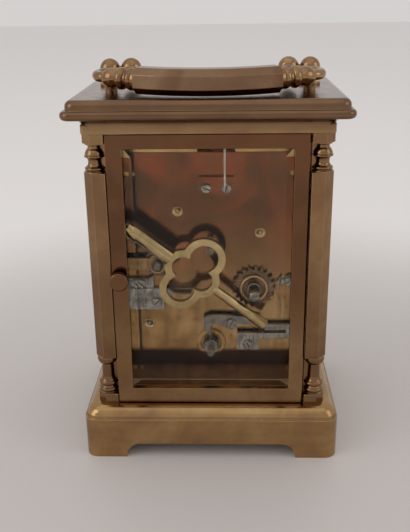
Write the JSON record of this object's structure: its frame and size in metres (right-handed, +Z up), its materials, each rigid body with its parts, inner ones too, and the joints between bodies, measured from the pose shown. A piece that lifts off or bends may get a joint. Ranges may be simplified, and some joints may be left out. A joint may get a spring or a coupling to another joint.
{
  "type": "carriage clock",
  "caption": "Brass carriage clock with bevelled glass, hinged rear door, folding bow handle, hanging double-ended key and a working alarm movement.",
  "frame": {"origin": "under the middle of the base, on the surface it stands on", "axes": "+Z up; +Y towards the rear door that the picture shows; -Y towards the dial; +X to the left in the picture"},
  "size_m": [0.081, 0.0706, 0.1207],
  "materials": {
    "case_brass": "cast and lacquered brass, dulled brown with age",
    "plate_brass": "rolled and polished brass, tarnished",
    "wheel_brass": "cut brass",
    "key_brass": "cast brass, bright with handling",
    "floor_paint": "dark lacquer on sheet brass",
    "steel": "polished steel",
    "spring_steel": "blued spring steel",
    "blued_steel": "blued steel",
    "gilt_mask": "matted gilt brass",
    "enamel": "white vitreous enamel",
    "bell_metal": "turned bell metal",
    "clear_glass": "bevelled polished glass"
  },
  "bodies": {
    "case": {"base_plinth": "case_brass", "floor_plate": "floor_paint", "base_screws": "steel", "front_posts": "case_brass", "back_posts": "case_brass", "roof_cornice": "case_brass", "roof_glass": "clear_glass", "front_glass": "clear_glass", "side_glasses": "clear_glass", "handle_posts": "case_brass", "back_plate": "plate_brass", "front_plate": "plate_brass", "plate_pillars": "plate_brass", "movement_screws": "steel", "contrate_cock": "plate_brass", "click_springs": "steel", "platform": "plate_brass", "escape_cock": "plate_brass", "balance_cock": "plate_brass", "hairspring": "spring_steel", "dial_mask": "gilt_mask", "enamel_dials": "enamel", "alarm_bell": "bell_metal", "alarm_bridge": "plate_brass"},
    "door": {"door_frame": "case_brass", "door_glass": "clear_glass", "door_pivot_pins": "steel", "door_knob": "case_brass"},
    "handle": {"handle_grip": "case_brass", "handle_arm_left": "case_brass", "handle_arm_right": "case_brass"},
    "key": {"winding_key": "key_brass"},
    "setting": {"setting_arbor": "steel", "cannon_pinion": "steel", "minute_hand": "blued_steel"},
    "minute": {"minute_wheel": "wheel_brass"},
    "hour": {"hour_wheel": "wheel_brass", "hour_hand": "blued_steel"},
    "alarm_setting": {"alarm_setting_arbor": "steel", "alarm_hand": "blued_steel"},
    "going_winding": {"going_arbor": "steel", "going_ratchet": "steel", "ratchet_collar": "plate_brass"},
    "barrel": {"going_barrel": "wheel_brass", "going_mainspring": "spring_steel"},
    "centre": {"centre_wheel": "wheel_brass"},
    "third": {"third_wheel": "wheel_brass"},
    "contrate": {"contrate_wheel": "wheel_brass"},
    "escape": {"escape_wheel": "wheel_brass"},
    "lever": {"pallet_lever": "steel"},
    "balance": {"balance_wheel": "wheel_brass"},
    "index": {"regulator_index": "steel"},
    "alarm_winding": {"alarm_arbor": "steel", "alarm_ratchet": "steel"},
    "alarm_drum": {"alarm_barrel": "wheel_brass"},
    "alarm_runner": {"alarm_wheel": "wheel_brass"},
    "hammer": {"alarm_hammer": "steel"},
    "going_pawl": {"going_click": "steel"},
    "alarm_pawl": {"alarm_click": "steel"},
    "setting_pawl": {"setting_click": "steel"}
  },
  "joints": [
    {"name": "door_swing", "type": "hinge", "parent": "case", "child": "door", "pos_m": [-0.027, 0.0288, 0.06], "axis": [0, 0, 1], "range_deg": [0, 110]},
    {"name": "handle_fold", "type": "hinge", "parent": "case", "child": "handle", "pos_m": [0, 0, 0.1175], "axis": [1, 0, 0], "range_deg": [0, 184.8]},
    {"name": "key_swing", "type": "hinge", "parent": "case", "child": "key", "pos_m": [0, 0.0226, 0.0657], "axis": [0, -1, 0], "range_deg": [0, 6]},
    {"name": "hand_setting", "type": "hinge", "parent": "case", "child": "setting", "pos_m": [0, 0, 0.0657], "axis": [0, 1, 0], "continuous": true},
    {"name": "minute_wheel_turn", "type": "hinge", "parent": "case", "child": "minute", "pos_m": [-0.00737, -0.015, 0.06054], "axis": [0, 1, 0], "continuous": true},
    {"name": "hour_wheel_turn", "type": "hinge", "parent": "case", "child": "hour", "pos_m": [0, -0.016, 0.0657], "axis": [0, 1, 0], "continuous": true},
    {"name": "alarm_setting", "type": "hinge", "parent": "case", "child": "alarm_setting", "pos_m": [0, 0, 0.0317], "axis": [0, 1, 0], "continuous": true},
    {"name": "going_winding", "type": "hinge", "parent": "case", "child": "going_winding", "pos_m": [-0.01369, 0.01, 0.05152], "axis": [0, 1, 0], "continuous": true},
    {"name": "train_run", "type": "hinge", "parent": "case", "child": "contrate", "pos_m": [-0.00206, 0, 0.08143], "axis": [0, 1, 0], "continuous": true},
    {"name": "barrel_turn", "type": "hinge", "parent": "case", "child": "barrel", "pos_m": [-0.01369, 0, 0.05152], "axis": [0, 1, 0], "continuous": true},
    {"name": "centre_turn", "type": "hinge", "parent": "case", "child": "centre", "pos_m": [0, 0, 0.0657], "axis": [0, 1, 0], "continuous": true},
    {"name": "third_turn", "type": "hinge", "parent": "case", "child": "third", "pos_m": [0.01, 0, 0.07606], "axis": [0, 1, 0], "continuous": true},
    {"name": "escape_turn", "type": "hinge", "parent": "case", "child": "escape", "pos_m": [-0.00206, 0.00427, 0.095], "axis": [0, 0, 1], "continuous": true},
    {"name": "lever_rock", "type": "hinge", "parent": "case", "child": "lever", "pos_m": [-0.00206, -0.00193, 0.096], "axis": [0, 0, 1], "range_deg": [-4, 4]},
    {"name": "balance_swing", "type": "hinge", "parent": "case", "child": "balance", "pos_m": [-0.00206, -0.00773, 0.1], "axis": [0, 0, 1], "range_deg": [-120, 120], "stiffness_Nm_per_rad": 0.000003},
    {"name": "index_move", "type": "hinge", "parent": "case", "child": "index", "pos_m": [-0.00206, -0.00773, 0.1038], "axis": [0, 0, 1], "range_deg": [-8, 8]},
    {"name": "alarm_winding", "type": "hinge", "parent": "case", "child": "alarm_winding", "pos_m": [0.0164, 0.01, 0.0599], "axis": [0, 1, 0], "continuous": true},
    {"name": "alarm_run", "type": "hinge", "parent": "case", "child": "alarm_drum", "pos_m": [0.0164, 0.005, 0.0599], "axis": [0, 1, 0], "continuous": true},
    {"name": "alarm_wheel_turn", "type": "hinge", "parent": "case", "child": "alarm_runner", "pos_m": [0.02073, 0, 0.04659], "axis": [0, 1, 0], "continuous": true},
    {"name": "hammer_swing", "type": "hinge", "parent": "case", "child": "hammer", "pos_m": [0.02014, 0, 0.03821], "axis": [0, 1, 0], "range_deg": [0, 5]},
    {"name": "going_click_lift", "type": "hinge", "parent": "case", "child": "going_pawl", "pos_m": [-0.02339, 0.016, 0.05352], "axis": [0, 1, 0], "range_deg": [0, 12], "stiffness_Nm_per_rad": 0.002},
    {"name": "alarm_click_lift", "type": "hinge", "parent": "case", "child": "alarm_pawl", "pos_m": [0.022, 0.016, 0.0529], "axis": [0, -1, 0], "range_deg": [0, 3], "stiffness_Nm_per_rad": 0.002},
    {"name": "setting_click_lift", "type": "hinge", "parent": "case", "child": "setting_pawl", "pos_m": [-0.0066, 0.017, 0.0396], "axis": [0, -1, 0], "range_deg": [0, 10], "stiffness_Nm_per_rad": 0.002}
  ],
  "couplings": [
    {"joint": "minute_wheel_turn", "follows": "hand_setting", "ratio": -0.33333},
    {"joint": "hour_wheel_turn", "follows": "hand_setting", "ratio": 0.083333},
    {"joint": "third_turn", "follows": "train_run", "ratio": -0.22222},
    {"joint": "centre_turn", "follows": "train_run", "ratio": 0.044444},
    {"joint": "barrel_turn", "follows": "train_run", "ratio": -0.017778},
    {"joint": "escape_turn", "follows": "train_run", "ratio": 6},
    {"joint": "alarm_wheel_turn", "follows": "alarm_run", "ratio": -4.6}
  ]
}
